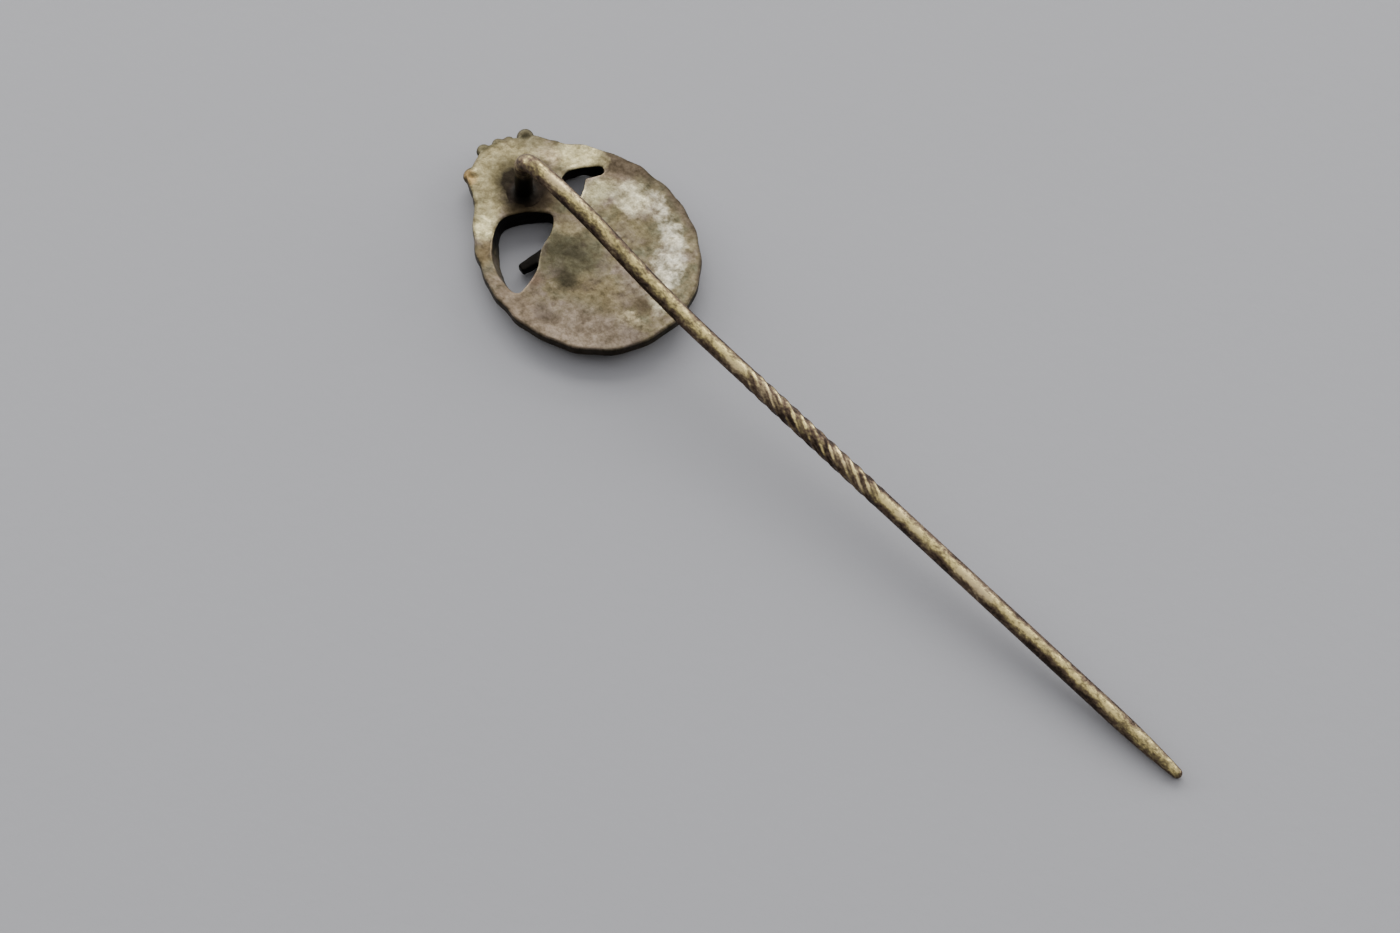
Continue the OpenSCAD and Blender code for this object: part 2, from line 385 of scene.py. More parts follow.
@dataclass(frozen=True)
class CastNickelSilver:
    """Cast nickel silver, long tarnished: olive and brown with grainy cream patches.

    The eye reads it as old soft metal: a satin sheen where it was rubbed, a dull grainy skin
    where it tarnished, and black in every hollow. Some cream patches are painted highlights, and
    the black is partly dirt and partly painted shade.
    """

    name: str = "cast_nickel_silver"
    base: str = "#8F8468"
    warm: str = "#9B8D80"
    cool: str = "#7C7962"
    # Black of the dirt in hollows and of the painted shade on the walls and the tongue
    dirt_and_shade_black: str = "#120F0A"
    metallic: float = 0.9
    grain_mm: float = 0.2
    grain_h: float = 0.01
    clot_mm: float = 0.5
    clot_h: float = 0.03
    patch_mm: float = 1.5
    ragged_mm: float = 0.7
    colour_patches: tuple[ColourPatch, ...] = ()

    def build(self) -> bpy.types.Material:
        """Mix the colour from clouds, patches of tarnish and painted light, dirt and painted shade.

        Returns:
            The material.
        """
        material, tree, shader = new_material(self.name)
        spot = add_node(tree, "TexCoord", out="Object")
        patches, clots, grain = (
            add_node(tree, "TexNoise", {"Scale": per_mm(size), "Detail": detail, "Roughness": rough},
                     {"Vector": spot})
            for size, detail, rough in (
                (self.patch_mm, 5.0, 0.6), (self.clot_mm, 4.0, 0.62), (self.grain_mm, 3.0, 0.7)))
        stops = ((0.36, self.cool), (0.5, self.base), (0.64, self.warm))
        plain = add_node(tree, "ValToRGB", {"stops": stops}, {"Fac": patches})
        ragged = self.ragged(tree, spot)
        patched = plain
        for colour_patch in self.colour_patches:
            patched = self.patched(tree, colour_patch, ragged, clots, patched)
        back = add_node(tree, "Attribute", {"attribute_name": Layer.BACK.value}, out="Fac")
        colour = add_node(tree, "Mix", {"data_type": "RGBA"}, {0: back, 6: plain, 7: patched}, 2)
        for cloud, share, stops in (
                (clots, 0.75, ((0.36, "#ABA598"), (0.5, "#E4E1DA"), (0.62, "#FFFFFF"))),
                (grain, 0.45, ((0.36, "#B8B2A6"), (0.56, "#FFFFFF")))):
            shade = add_node(tree, "ValToRGB", {"stops": stops}, {"Fac": cloud})
            settings = {"data_type": "RGBA", "blend_type": "MULTIPLY", 0: share}
            colour = add_node(tree, "Mix", settings, {6: colour, 7: shade}, 2)
        # Blackened by the share of dirt and painted shade
        grime = add_node(tree, "Attribute", {"attribute_name": Layer.GRIME.value}, out="Fac")
        settings = {"data_type": "RGBA", 7: linear(self.dirt_and_shade_black)}
        colour = add_node(tree, "Mix", settings, {0: grime, 6: colour}, 2)
        light = add_node(tree, "RGBToBW", links={"Color": colour})
        settings = {"From Min": 0.05, "From Max": 0.45, "To Min": 0.58, "To Max": 0.36}
        rough = add_node(tree, "MapRange", settings, {"Value": light})
        clotted = add_node(tree, "Bump", {"Distance": self.clot_h * MM}, {"Height": clots})
        grained = add_node(tree, "Bump", {"Distance": self.grain_h * MM},
                           {"Height": grain, "Normal": clotted})
        set_up(tree, shader, {"Metallic": self.metallic},
               {"Base Color": colour, "Roughness": rough, "Normal": grained})
        return material

    def ragged(self, tree: Tree, spot: Socket) -> Socket:
        """Push coordinates about by noise, so that a patch has a ragged edge.

        Args:
            tree: The node tree.
            spot: Object coordinates.

        Returns:
            The pushed coordinates.
        """
        settings = {"Scale": per_mm(1.8 * self.ragged_mm), "Detail": 4.0, "Roughness": 0.6}
        push = add_node(tree, "TexNoise", settings, {"Vector": spot}, "Color")
        reach = (2 * self.ragged_mm * MM,) * 3
        back = (-self.ragged_mm * MM,) * 3
        pushed = add_node(tree, "VectorMath", {"operation": "MULTIPLY_ADD", 1: reach, 2: back}, {0: push})
        return add_node(tree, "VectorMath", {"operation": "ADD"}, {0: spot, 1: pushed})

    def patched(self, tree: Tree, colour_patch: ColourPatch, spot: Socket, clots: Socket, colour: Socket) -> Socket:
        """Lay a patch of tarnish or of painted light over a colour.

        Args:
            tree: The node tree.
            colour_patch: The stain.
            spot: Coordinates with ragged edges.
            clots: Noise that breaks the stain up.
            colour: The colour below.

        Returns:
            The new colour.
        """
        # A metre deep, so that the patch is the same at every height of the plate
        depth = 1.0
        settings = {
            "vector_type": "TEXTURE",
            "Location": ((HEAD_X + colour_patch.place[0]) * MM, colour_patch.place[1] * MM, 0.0),
            "Rotation": (0.0, 0.0, math.radians(colour_patch.turn)),
            "Scale": (colour_patch.size[0] * MM, colour_patch.size[1] * MM, depth),
        }
        local = add_node(tree, "Mapping", settings, {"Vector": spot})
        inner = add_node(tree, "TexGradient", {"gradient_type": "SPHERICAL"}, {"Vector": local}, "Fac")
        settings = {"operation": "MULTIPLY_ADD", 1: 4 * colour_patch.broken, 2: 1 - 2 * colour_patch.broken}
        breaks = add_node(tree, "Math", settings, {0: clots})
        torn = add_node(tree, "Math", {"operation": "MULTIPLY"}, {0: breaks, 1: inner})
        settings = {"From Min": 0.05, "From Max": 0.5 + 0.25 * colour_patch.broken, "To Max": colour_patch.strength}
        mask = add_node(tree, "MapRange", settings, {"Value": torn})
        settings = {"data_type": "RGBA", 7: linear(colour_patch.colour)}
        return add_node(tree, "Mix", settings, {0: mask, 6: colour}, 2)


@dataclass(frozen=True)
class DrawnWire:
    """Drawn nickel-silver wire, golden cream along its top and brown on its sides.

    The cream top is partly wear and partly a painted highlight, and the brown sides are partly
    tarnish and partly painted shade. The eye reads a narrow mottled line of bright metal between
    dark bands.
    """

    # Colour of the brightest top: worn metal and painted highlight together
    worn: str = "#FFE99E"
    pink: str = "#E8CFAE"
    dull: str = "#94865F"
    brown: str = "#655445"
    dark: str = "#352A22"
    # Black of the tarnish and painted shade along the leg
    dirt_and_shade_black: str = "#120F0A"
    metallic: float = 0.88
    drift_mm: float = 2.4
    blotch_mm: float = 0.6
    blotch_h: float = 0.012
    scratch_mm: float = 0.16
    scratch_h: float = 0.008
    stretch: float = 0.6

    def build(self) -> bpy.types.Material:
        """Mix the colour from the wear and painted sheen, which clouds of three sizes break up.

        Returns:
            The material.
        """
        material, tree, shader = new_material("drawn_wire")
        spot = add_node(tree, "TexCoord", out="Object")
        along = add_node(tree, "Mapping", {"Scale": (self.stretch, 1.0, 1.0)}, {"Vector": spot})
        drift, blotch, scratch = (
            add_node(tree, "TexNoise", {"Scale": per_mm(size), "Detail": detail, "Roughness": rough},
                     {"Vector": along})
            for size, detail, rough in (
                (self.drift_mm, 2.0, 0.6), (self.blotch_mm, 6.0, 0.7), (self.scratch_mm, 2.0, 0.6)))
        share = add_node(tree, "Attribute", {"attribute_name": Layer.WORN.value}, out="Fac")
        for cloud, reach in ((blotch, 1.2), (scratch, 1.0), (drift, 0.7)):
            settings = {"operation": "MULTIPLY_ADD", 1: reach, 2: -reach / 2}
            off = add_node(tree, "Math", settings, {0: cloud})
            share = add_node(tree, "Math", {"operation": "ADD"}, {0: share, 1: off})
        stops = ((0.05, self.dark), (0.3, self.brown), (0.58, self.dull), (0.88, self.worn))
        golden = add_node(tree, "ValToRGB", {"stops": stops}, {"Fac": share})
        stops = ((0.3, self.brown), (0.92, self.pink))
        pinked = add_node(tree, "ValToRGB", {"stops": stops}, {"Fac": share})
        settings = {"From Min": 0.5, "From Max": 0.64, "To Max": 0.6}
        tint = add_node(tree, "MapRange", settings, {"Value": drift})
        colour = add_node(tree, "Mix", {"data_type": "RGBA"}, {0: tint, 6: golden, 7: pinked}, 2)
        grime = add_node(tree, "Attribute", {"attribute_name": Layer.GRIME.value}, out="Fac")
        settings = {"data_type": "RGBA", 7: linear(self.dirt_and_shade_black)}
        colour = add_node(tree, "Mix", settings, {0: grime, 6: colour}, 2)
        settings = {"From Min": 0.2, "From Max": 0.9, "To Min": 0.55, "To Max": 0.41}
        rough = add_node(tree, "MapRange", settings, {"Value": share})
        blotched = add_node(tree, "Bump", {"Distance": self.blotch_h * MM}, {"Height": blotch})
        scratched = add_node(tree, "Bump", {"Distance": self.scratch_h * MM},
                             {"Height": scratch, "Normal": blotched})
        set_up(tree, shader, {"Metallic": self.metallic},
               {"Base Color": colour, "Roughness": rough, "Normal": scratched})
        return material


@dataclass(frozen=True)
class PaleTable:
    """Pale grey laminate with a fine leathery grain: matt, cool and even."""

    colour: str = "#AEAEB1"
    roughness: float = 0.55
    grain_mm: float = 0.9
    grain_h: float = 0.01

    def build(self) -> bpy.types.Material:
        """Lay an even colour over a fine grain.

        Returns:
            The material.
        """
        material, tree, shader = new_material("pale_table")
        spot = add_node(tree, "TexCoord", out="Object")
        settings = {"Scale": per_mm(self.grain_mm), "Detail": 3.0, "Roughness": 0.6}
        grain = add_node(tree, "TexNoise", settings, {"Vector": spot})
        grained = add_node(tree, "Bump", {"Distance": self.grain_h * MM}, {"Height": grain})
        set_up(tree, shader, {"Base Color": linear(self.colour), "Roughness": self.roughness},
               {"Normal": grained})
        return material


@dataclass
class Window:
    """A pierced window: a smooth closed curve on the back, with walls that may lean inwards."""

    rows: Sequence[tuple[float, float, float]]
    middle: tuple[float, float]
    steps: int = 6
    above: float = 0.4
    below: float = 0.3

    def curve(self) -> list[Vector]:
        """Return the curve's points, each with x, y and lean."""
        return [spline(self.rows, i, s / self.steps)
                for i in range(len(self.rows)) for s in range(self.steps)]

    def cutter(self, thickness: float) -> Piece:
        """Return the solid that cuts the window.

        Args:
            thickness: Depth of the casting, over which the walls lean by their full amount.

        Returns:
            The cutter, in millimetres.
        """
        curve = self.curve()
        top = thickness + self.above
        cutter = add_ring(len(curve), 1.0, (0, 0, top), "window_cutter")
        bpy.ops.mesh.edge_face_add()
        bpy.ops.mesh.extrude_region_move(TRANSFORM_OT_translate={"value": (0, 0, -self.below - top)})
        bpy.ops.object.mode_set(mode="OBJECT")
        middle = Vector(self.middle)
        for i, vertex in enumerate(cutter.data.vertices):
            point = curve[i % len(curve)]
            place = point.xy
            inward = (middle - place).normalized()
            place = place + inward * point.z * (thickness - vertex.co.z) / thickness
            vertex.co = (place.x, place.y, vertex.co.z)
        bpy.ops.object.mode_set(mode="EDIT")
        close_mesh()
        return cutter


@dataclass
class BadgeHead:
    """The cast head: plate, windows, neck, crest with its knobs, tongue and front relief."""

    thickness: float = 1.25
    rim_t: float = 0.58
    dish: float = 0.2
    crest_rise: float = 0.12
    rim_wave: float = 0.06
    # Share, count round the rim and start in degrees of each of its small waves
    waves: Sequence[tuple[float, int, float]] = ((0.6, 22, 0), (0.4, 14, 50))
    sides: int = 240
    rings: int = 44
    voxel: float = 0.075
    rim: Sequence[float] = (7.92, 7.34, 6.7, 6.4, 6.62, 7.2, 7.4, 6.42, 5.98, 6.2, 6.9, 7.78)
    crest_from: float = 144.0
    crest_to: float = 204.0
    crest_soft: float = 4.0
    crest: Sequence[float] = (7.2, 7.45, 8.05, 8.22, 8.45, 8.65, 8.55, 8.25, 8.0, 7.1, 6.6)
    knob_z: float = 0.95
    knob_foot: tuple[float, float, float] = (0.9, 0.9, 1.15)
    knobs: Sequence[tuple[float, float, float]] = (
        (159.3, 8.28, 0.53), (166.5, 8.34, 0.42), (170.5, 8.54, 0.41),
        (176.8, 8.71, 0.45), (188.9, 7.95, 0.53))
    boss_from: float = 135.0
    boss_to: float = 250.0
    boss_step: float = 30.0
    boss_in: float = 0.2
    boss_soft: float = 0.3
    boss_z: float = 0.03
    leaf_n: int = 24
    leaf_cut: float = 0.2
    leaf_lean: float = 420.0
    leaf_soft: float = 0.08
    flute_n: int = 16
    flute_cut: float = 0.12
    flute_from: float = 0.3
    groove_at: float = 0.67
    wreath_at: float = 0.82
    groove_z: float = 0.42
    centre_z: float = 0.06
    large_window: Window = field(default_factory=lambda: Window(
        rows=((-2.5, 0.2, 0), (-1.8, -0.5, 0), (-1.2, -1.9, 0), (-0.4, -2.95, 0),
              (0.1, -4.3, 0.1), (0.05, -5.1, 0.4), (-1.3, -5.08, 0.65), (-2.6, -4.5, 0.6),
              (-3.5, -3.6, 0.4), (-4.2, -2.3, 0.1), (-3.8, -1.14, 0), (-3.1, -0.22, 0)),
        middle=(-2.0, -2.7)))
    small_window: Window = field(default_factory=lambda: Window(
        rows=((-3.1, 1.5, 0), (-3.85, 2.1, 0), (-4.15, 2.85, 0), (-3.95, 3.5, 0),
              (-3.5, 4.15, 0), (-3.05, 4.65, 0), (-2.65, 4.4, 0), (-2.95, 3.65, 0),
              (-3.05, 3.35, 0), (-2.6, 2.75, 0), (-2.35, 2.0, 0)),
        middle=(-3.2, 3.0)))
    tongue_root: tuple[float, float] = (-1.1, -2.1)
    tongue_turn: float = -97.0
    tongue_l: float = 1.4
    tongue_w: float = 0.84
    tongue_end_w: float = 0.6
    tongue_z: float = 0.22
    tongue_t: float = 0.55
    tongue_sunk: float = 0.5
    # How far its painted shade spreads over it, before its root and past its end
    tongue_shade_spread: tuple[float, float, float] = (0.25, 0.35, 0.2)

    def oval(self, angle: float) -> float:
        """Return the rim's reach without its small waves.

        Args:
            angle: Direction in degrees, from 0 to 360.

        Returns:
            The reach in millimetres.
        """
        step = 360 / len(self.rim)
        rows = [(reach, 0.0) for reach in self.rim]
        index = int(angle // step)
        return spline(rows, index, angle / step - index).x

    def crest_reach(self, angle: float) -> float:
        """Return the crest's reach without its knobs.

        Args:
            angle: Direction in degrees.

        Returns:
            The reach in millimetres.
        """
        step = (self.crest_to - self.crest_from) / (len(self.crest) - 1)
        way = (angle - self.crest_from) / step
        index = min(max(int(way), 0), len(self.crest) - 2)
        return mix(self.crest[index], self.crest[index + 1], min(1.0, max(0.0, way - index)))

    def reach(self, angle: float) -> float:
        """Return the plate's reach in a direction.

        Args:
            angle: Direction in degrees, from 0 to 360.

        Returns:
            The reach in millimetres, with the small waves of the rim.
        """
        wave = sum(share * math.sin(math.radians(count * angle + start))
                   for share, count, start in self.waves)
        rim = self.oval(angle) + self.rim_wave * wave
        in_crest = between(angle, self.crest_from, self.crest_to, self.crest_soft)
        return mix(rim, self.crest_reach(angle), in_crest)

    def boss_share(self, share: float, angle: float) -> float:
        """Return how far a place is in the thick part by the crest, from 0 to 1."""
        return (between(angle, self.boss_from, self.boss_to, self.boss_step)
                * ease((share - self.boss_in) / self.boss_soft))

    def back_z(self, share: float, angle: float) -> float:
        """Return the height of the back, slightly dished and raised towards the crest."""
        boss = self.boss_share(share, angle)
        return self.thickness - self.dish * (1 - share * share) * (1 - boss) + self.crest_rise * boss

    def front_z(self, share: float, angle: float) -> float:
        """Return the height of the front: a fluted centre, a groove and a wreath of leaves.

        Args:
            share: How far out the place is, as a share of the reach.
            angle: Its direction in degrees.

        Returns:
            The height in millimetres.
        """
        side = 1 if angle < 180 else -1
        lean = side * self.leaf_lean * (share - self.wreath_at)
        leaf = 0.5 + 0.5 * math.cos(math.radians(self.leaf_n * angle - lean))
        flute = 0.5 + 0.5 * math.cos(math.radians(self.flute_n * angle))
        outer = (self.thickness - self.rim_t) * ((share - self.wreath_at) / (1 - self.wreath_at)) ** 2
        if share <= self.groove_at:
            relief = (mix(self.centre_z, self.groove_z, (share / self.groove_at) ** 3)
                      + ease(share / self.flute_from) * self.flute_cut * flute)
        elif share < self.wreath_at:
            inner = ease((share - self.groove_at) / (self.wreath_at - self.groove_at))
            relief = (mix(self.groove_z, 0.0, inner)
                      + self.leaf_cut * leaf * ease((share - self.groove_at) / self.leaf_soft))
        else:
            relief = outer + self.leaf_cut * leaf * ease((1 - share) / self.leaf_soft)
        plain = self.boss_z if share < self.wreath_at else max(self.boss_z, outer)
        return mix(relief, plain, self.boss_share(share, angle))

    def plate(self) -> Piece:
        """Model the plate: a disc of rings, extruded through and pressed to its two faces.

        Returns:
            The plate, without windows.
        """
        plate = add_ring(self.sides, 1.0, UP, "badge_head")
        extrude_rings(UP, UP, [(0.0, ring) for ring in range(self.rings, 0, -1)])
        bpy.ops.mesh.edge_face_add()
        bpy.ops.mesh.poke()
        bpy.ops.mesh.select_all(action="SELECT")
        bpy.ops.mesh.extrude_region_move(TRANSFORM_OT_translate={"value": -UP})
        bpy.ops.mesh.select_all(action="SELECT")
        bpy.ops.mesh.normals_make_consistent(inside=False)
        bpy.ops.object.mode_set(mode="OBJECT")
        for vertex in plate.data.vertices:
            share = min(1.0, vertex.co.xy.length)
            angle = math.degrees(math.atan2(vertex.co.y, vertex.co.x)) % 360
            face = Face.BACK if vertex.co.z > 0.5 else Face.FRONT
            height = self.back_z if face is Face.BACK else self.front_z
            place = vertex.co.xy * self.reach(angle)
            vertex.co = (place.x, place.y, height(share, angle))
        return plate

    def knob(self, angle: float, reach: float, radius: float) -> Piece:
        """Model one rounded knob of the crest, narrower and deeper towards the front.

        Args:
            angle: Its direction in degrees.
            reach: Distance of its middle from the head's middle.
            radius: Its radius.

        Returns:
            The knob.
        """
        deselect_all()
        turn = math.radians(angle)
        place = (reach * math.cos(turn), reach * math.sin(turn), self.knob_z)
        bpy.ops.mesh.primitive_uv_sphere_add(segments=24, ring_count=14, radius=radius, location=place)
        knob = bpy.context.object
        bpy.ops.object.transform_apply()
        bpy.ops.object.mode_set(mode="EDIT")
        waist_z = self.knob_z - 0.4 * radius
        select_where(knob, lambda co: co.z < waist_z)
        bpy.ops.transform.resize(value=self.knob_foot, center_override=place)
        close_mesh()
        return knob

    def tongue(self) -> Piece:
        """Model the bar that reaches into the large window, with a narrower, rounded end.

        Returns:
            The tongue.
        """
        deselect_all()
        out = (self.tongue_l - self.tongue_sunk) / 2
        root = Vector((*self.tongue_root, self.tongue_z + self.tongue_t / 2))
        bpy.ops.mesh.primitive_cube_add(size=1.0)
        tongue = bpy.context.object
        tongue.scale = (self.tongue_l + self.tongue_sunk, self.tongue_w, self.tongue_t)
        tongue.rotation_euler = (0.0, 0.0, math.radians(self.tongue_turn))
        tongue.location = root + self.tongue_way * out
        bpy.ops.object.transform_apply()
        bpy.ops.object.mode_set(mode="EDIT")
        select_where(tongue, lambda co: self.along_tongue(co)[0] > out)
        narrow = self.tongue_end_w / self.tongue_w
        end = Vector((*self.tongue_root, 0.0)) + self.tongue_way * self.tongue_l
        bpy.ops.transform.resize(value=(narrow, 1.0, 1.0), center_override=end)
        bpy.ops.mesh.select_all(action="SELECT")
        bpy.ops.mesh.bevel(offset=0.2 * self.tongue_end_w, segments=3)
        close_mesh()
        return tongue

    @property
    def tongue_way(self) -> Vector:
        """The direction that the tongue points in."""
        turn = math.radians(self.tongue_turn)
        return Vector((math.cos(turn), math.sin(turn), 0.0))

    def along_tongue(self, place: Vector) -> tuple[float, float]:
        """Measure a place along the tongue.

        Args:
            place: The place.

        Returns:
            How far it lies along the tongue from the root, and how far beside its middle line.
        """
        out = Vector((place.x - self.tongue_root[0], place.y - self.tongue_root[1], 0.0))
        along = out.dot(self.tongue_way)
        return along, (out - self.tongue_way * along).length

    def on_tongue(self, place: Vector) -> bool:
        """Return whether a place belongs to the tongue or to the wall round its root.

        Args:
            place: The place, in millimetres.

        Returns:
            Whether it is so near to the tongue that it is painted black as shade.
        """
        over, before, past = self.tongue_shade_spread
        along, beside = self.along_tongue(place)
        low = place.z < self.tongue_z + self.tongue_t + over
        return low and -before < along < self.tongue_l + past and beside < self.tongue_w

    def grime_and_shade_at(self, place: Vector, normal: Vector) -> float:
        """Return how much dirt and painted shade lie at a place of the casting.

        Args:
            place: The place, in millimetres.
            normal: The surface's direction there.

        Returns:
            The share of dirt and painted shade, from 0 to 1.
        """
        # The tongue and its root are painted black all over: painted shade deep in the window
        if self.on_tongue(place):
            return 1.0
        angle = math.degrees(math.atan2(place.y, place.x)) % 360
        share = place.xy.length / self.reach(angle)
        steep = 1 - fade(abs(normal.z), 0.25, 0.6)
        # The window walls and outer walls are darkened, partly as dirt and partly as painted shade; the
        # outermost edge of the back is darkened, and the front relief holds dirt in its hollows
        in_window = steep * (1 - fade(share, 0.88, 0.94))
        on_wall = 0.85 * steep * fade(share, 0.9, 0.95)
        on_edge = 0.55 * fade(share, 0.965, 0.995)
        in_relief = 0.8 * fade(place.z, 0, self.groove_z) * (1 - fade(share, 0.9, 0.98))
        return max(in_window, on_wall, on_edge, in_relief if normal.z <= 0 else 0.0)

    def build(self, finish: CastNickelSilver) -> Piece:
        """Model the head as one casting and dress it.

        Args:
            finish: The casting's finish.

        Returns:
            The head.
        """
        plate = self.plate()
        for window in (self.large_window, self.small_window):
            cutter = window.cutter(self.thickness)
            settings = {"operation": "DIFFERENCE", "solver": "EXACT", "object": cutter}
            apply_modifier(plate, "BOOLEAN", settings)
            bpy.data.objects.remove(cutter)
        head = join([plate, self.tongue()] + [self.knob(*row) for row in self.knobs])
        apply_modifier(head, "REMESH", {"mode": "VOXEL", "voxel_size": self.voxel})
        apply_modifier(head, "SMOOTH", {"factor": 0.5, "iterations": 3})
        roughen(head, grain=1.4, height=0.07)
        roughen(head, grain=0.4, height=0.018)
        head.data.update()
        write_layer(head, Layer.GRIME, [self.grime_and_shade_at(v.co, v.normal) for v in head.data.vertices])
        write_layer(head, Layer.BACK, [fade(v.normal.z, -0.5, 0) for v in head.data.vertices])
        settle(head, finish.build(), smooth_angle=80)
        return head


@dataclass
class WirePin:
    """The wire: leg, elbow, bowed upper run, ridged run, plain shank and ground point."""

    radius: float = 0.53
    leg_x: float = -4.7
    foot_z: float = 0.75
    elbow_r: float = 1.1
    brow_l: float = 7.0
    steep_fall: float = 15.5
    sweep_l: float = 8.0
    lower_fall: float = 3.7
    plain_l: float = 2.6
    ridge_l: float = 11.7
    ridge_n: int = 6
    ridge_lead: float = 6.05
    ridge_h: float = 0.03
    groove_d: float = 0.03
    shank_l: float = 17.9
    point_l: float = 5.4
    tip_r: float = 0.31
    sides: int = 72
    leg_steps: int = 4
    arc_steps: int = 20
    run_steps: tuple[int, int, int] = (10, 130, 30)
    point_steps: int = 24
    tip_steps: int = 6
    # Wear and painted sheen at the sides and at the brightest line of each stretch: the lighter top
    # is partly painted highlight, the darker sides and underside partly painted shade
    head_wear_and_sheen: tuple[float, float] = (0.12, 0.86)
    elbow_wear_and_sheen: tuple[float, float] = (0.32, 0.52)
    shank_wear_and_sheen: tuple[float, float] = (0.14, 0.86)
    point_wear_and_sheen: tuple[float, float] = (0.35, 0.8)
    # The brightest line round the wire faces this way: worn metal and painted highlight together
    wear_and_sheen_way: tuple[float, float, float] = (0.0, -0.2, 0.98)
    wear_and_sheen_from: float = 0.4
    patch_mm: float = 0.5
    hair_w: float = 0.13
    hair_l: float = 0.8

    def taper_r(self, share: float) -> float:
        """Return the point's radius at a share of its length."""
        return mix(self.radius, self.tip_r, share * share)

    def point_rows(self) -> list[tuple[float, float]]:
        """Return rows for extrude_rings that taper the point and round its blunt tip.

        Returns:
            Distance from the point's start and radius of each ring.
        """
        shares = (i / self.point_steps for i in range(self.point_steps + 1))
        taper = [(share * self.point_l, self.taper_r(share)) for share in shares]
        turns = (math.radians(90 * i / self.tip_steps) for i in range(1, self.tip_steps))
        return taper + [(self.point_l + self.tip_r * math.sin(turn), self.tip_r * math.cos(turn))
                        for turn in turns]

    @property
    def way(self) -> Vector:
        """The direction of the straight lower wire."""
        fall = math.radians(self.lower_fall)
        return Vector((math.cos(fall), 0.0, -math.sin(fall)))

    @property
    def brow_r(self) -> float:
        """Radius of the arc that leaves the elbow level and falls to its steepest."""
        return self.brow_l / math.radians(self.steep_fall)

    @property
    def sweep_r(self) -> float:
        """Radius of the arc that flattens again towards the straight wire."""
        return self.sweep_l / math.radians(self.steep_fall - self.lower_fall)

    @property
    def leg_top(self) -> float:
        """Height at which the leg meets the elbow, so that the point rests on the table."""
        fall = math.radians(self.lower_fall)
        samples = 20
        shares = [i / samples for i in range(samples + 1)]
        rest = max(self.taper_r(share) * math.cos(fall) - (1 - share) * self.point_l * math.sin(fall)
                   for share in shares)
        lower = (self.plain_l + self.ridge_l + self.shank_l + self.point_l) * math.sin(fall)
        steep = math.radians(self.steep_fall)
        sweep = self.sweep_r * (math.cos(fall) - math.cos(steep))
        brow = self.brow_r * (1 - math.cos(steep))
        return rest + lower + sweep + brow - self.elbow_r

    def build(self, finish: DrawnWire) -> Piece:
        """Model the wire from its foot to its point and dress it.

        Args:
            finish: The wire's finish.

        Returns:
            The wire.
        """
        foot = Vector((self.leg_x, 0.0, self.foot_z))
        wire = add_ring(self.sides, self.radius, foot, "wire_pin")
        extrude_rings(foot, UP, even(self.leg_top - self.foot_z, self.leg_steps, self.radius))
        steep = math.radians(self.steep_fall)
        fall = math.radians(self.lower_fall)
        elbow = Vector((self.leg_x + self.elbow_r, 0.0, self.leg_top))
        bpy.ops.mesh.spin(steps=self.arc_steps, angle=-math.pi / 2, center=elbow, axis=(0, 1, 0))
        under = elbow + UP * (self.elbow_r - self.brow_r)
        bpy.ops.mesh.spin(steps=self.arc_steps, angle=-steep, center=under, axis=(0, 1, 0))
        over = under + (self.brow_r + self.sweep_r) * Vector((math.sin(steep), 0.0, math.cos(steep)))
        bpy.ops.mesh.spin(steps=self.arc_steps, angle=steep - fall, center=over, axis=(0, 1, 0))
        starts = [over - self.sweep_r * Vector((math.sin(fall), 0.0, math.cos(fall)))]
        for length, steps in zip((self.plain_l, self.ridge_l, self.shank_l), self.run_steps):
            starts.append(extrude_rings(starts[-1], self.way, even(length, steps, self.radius)))
        _, ridges, _, point = starts
        extrude_rings(point, self.way, self.point_rows())
        bpy.ops.mesh.edge_face_add()
        bpy.ops.mesh.poke()
        close_mesh()
        self.cut_ridges(wire, ridges)
        roughen(wire, grain=0.6, height=0.012)
        write_layer(wire, Layer.WORN, [self.wear_and_sheen_at(v.co, v.normal, ridges) for v in wire.data.vertices])
        write_layer(wire, Layer.GRIME, [self.grime_and_shade_at(v.co) for v in wire.data.vertices])
        settle(wire, finish.build(), smooth_angle=60)
        return wire

    def ridge_share(self, along: float) -> float:
        """Return how deep the ridges are cut at a distance along their run, from 0 to 1."""
        return between(along, 0.0, self.ridge_l, 0.1 * self.ridge_l)

    def around(self, place: Vector, start: Vector) -> tuple[float, float, Vector]:
        """Return a place's distance along the lower wire, its angle round it and its axis point.

        Args:
            place: The place.
            start: Where the ridged run starts.

        Returns:
            Distance in millimetres, angle in radians from the top towards -Y, and the point.
        """
        along = (place - start).dot(self.way)
        centre = start + self.way * along
        out = place - centre
        up = Vector((-self.way.z, 0.0, self.way.x))
        return along, math.atan2(-out.y, out.dot(up)), centre

    def unwound(self, along: float, angle: float) -> float:
        """Return an angle round the wire, less the turn that the ridges have made by there."""
        return angle - 2 * math.pi * along / self.ridge_lead

    def ridge_top(self, along: float, angle: float) -> float:
        """Return how near a place is to the top of a ridge, from 0 in a groove to 1."""
        return (0.5 + 0.5 * math.cos(self.ridge_n * self.unwound(along, angle))) ** 2

    def cut_ridges(self, wire: Piece, start: Vector) -> None:
        """Press the spiral ridges into their run.

        Args:
            wire: The wire, in millimetres.
            start: Where the ridged run starts.
        """
        for vertex in wire.data.vertices:
            along, angle, centre = self.around(vertex.co, start)
            if 0 < along < self.ridge_l:
                top = self.ridge_top(along, angle)
                lift = self.ridge_share(along) * mix(-self.groove_d, self.ridge_h, top)
                vertex.co = vertex.co + (vertex.co - centre).normalized() * lift

